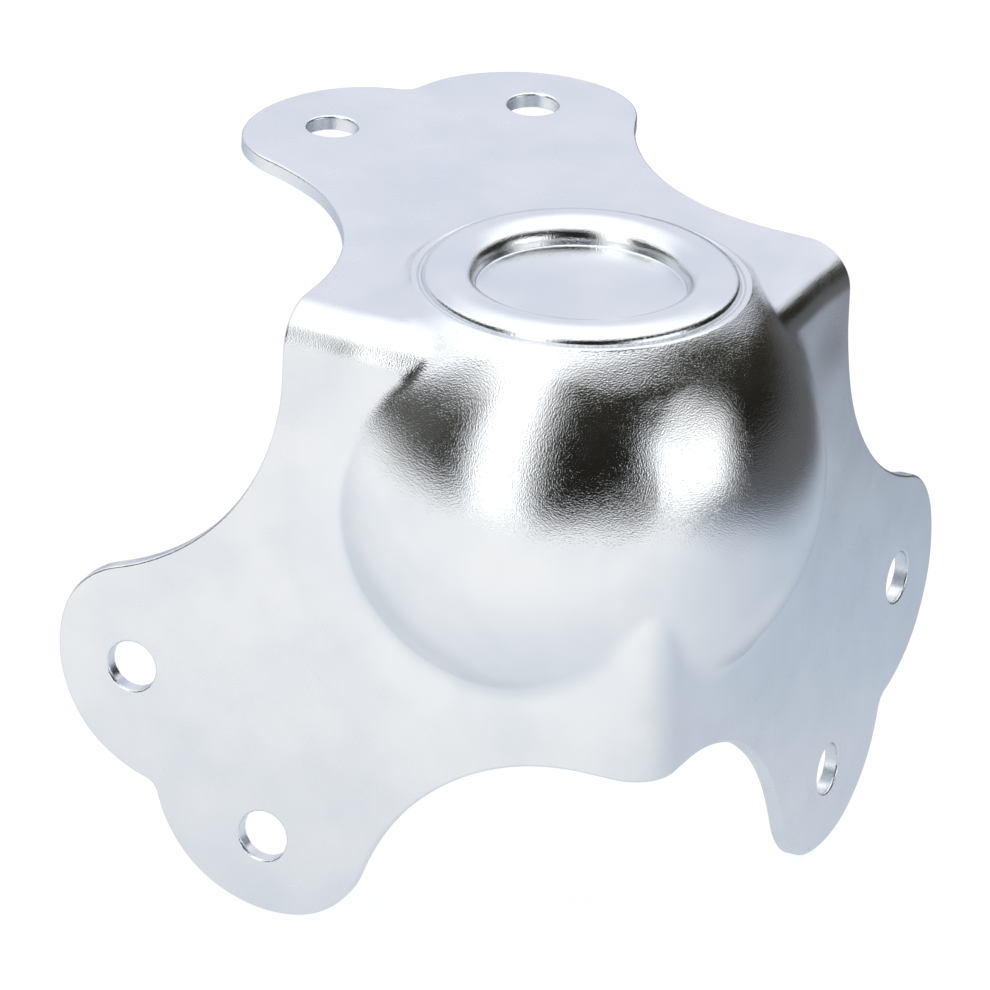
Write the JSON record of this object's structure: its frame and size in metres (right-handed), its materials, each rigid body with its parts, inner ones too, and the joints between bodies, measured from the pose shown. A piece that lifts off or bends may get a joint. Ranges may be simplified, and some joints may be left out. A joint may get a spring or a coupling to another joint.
{
  "type": "flight case corner",
  "caption": "Pressed sheet steel ball corner with lobed wings and rivet holes, which caps and guards a corner of a flight case.",
  "frame": {"origin": "the corner point of the case, where the backs of the wings meet", "axes": "+Z out of the top of the case, -Y out of its front and +X out of its side; the case fills x < 0, y > 0, z < 0"},
  "size_m": [0.0693, 0.0693, 0.0658],
  "materials": {
    "zinc_plated_steel": "bright zinc plate over fine grained sheet, satin on the wings, brighter on the ball and the stacking bead"
  },
  "bodies": {
    "root": {"ball_corner": "zinc_plated_steel"}
  },
  "joints": []
}
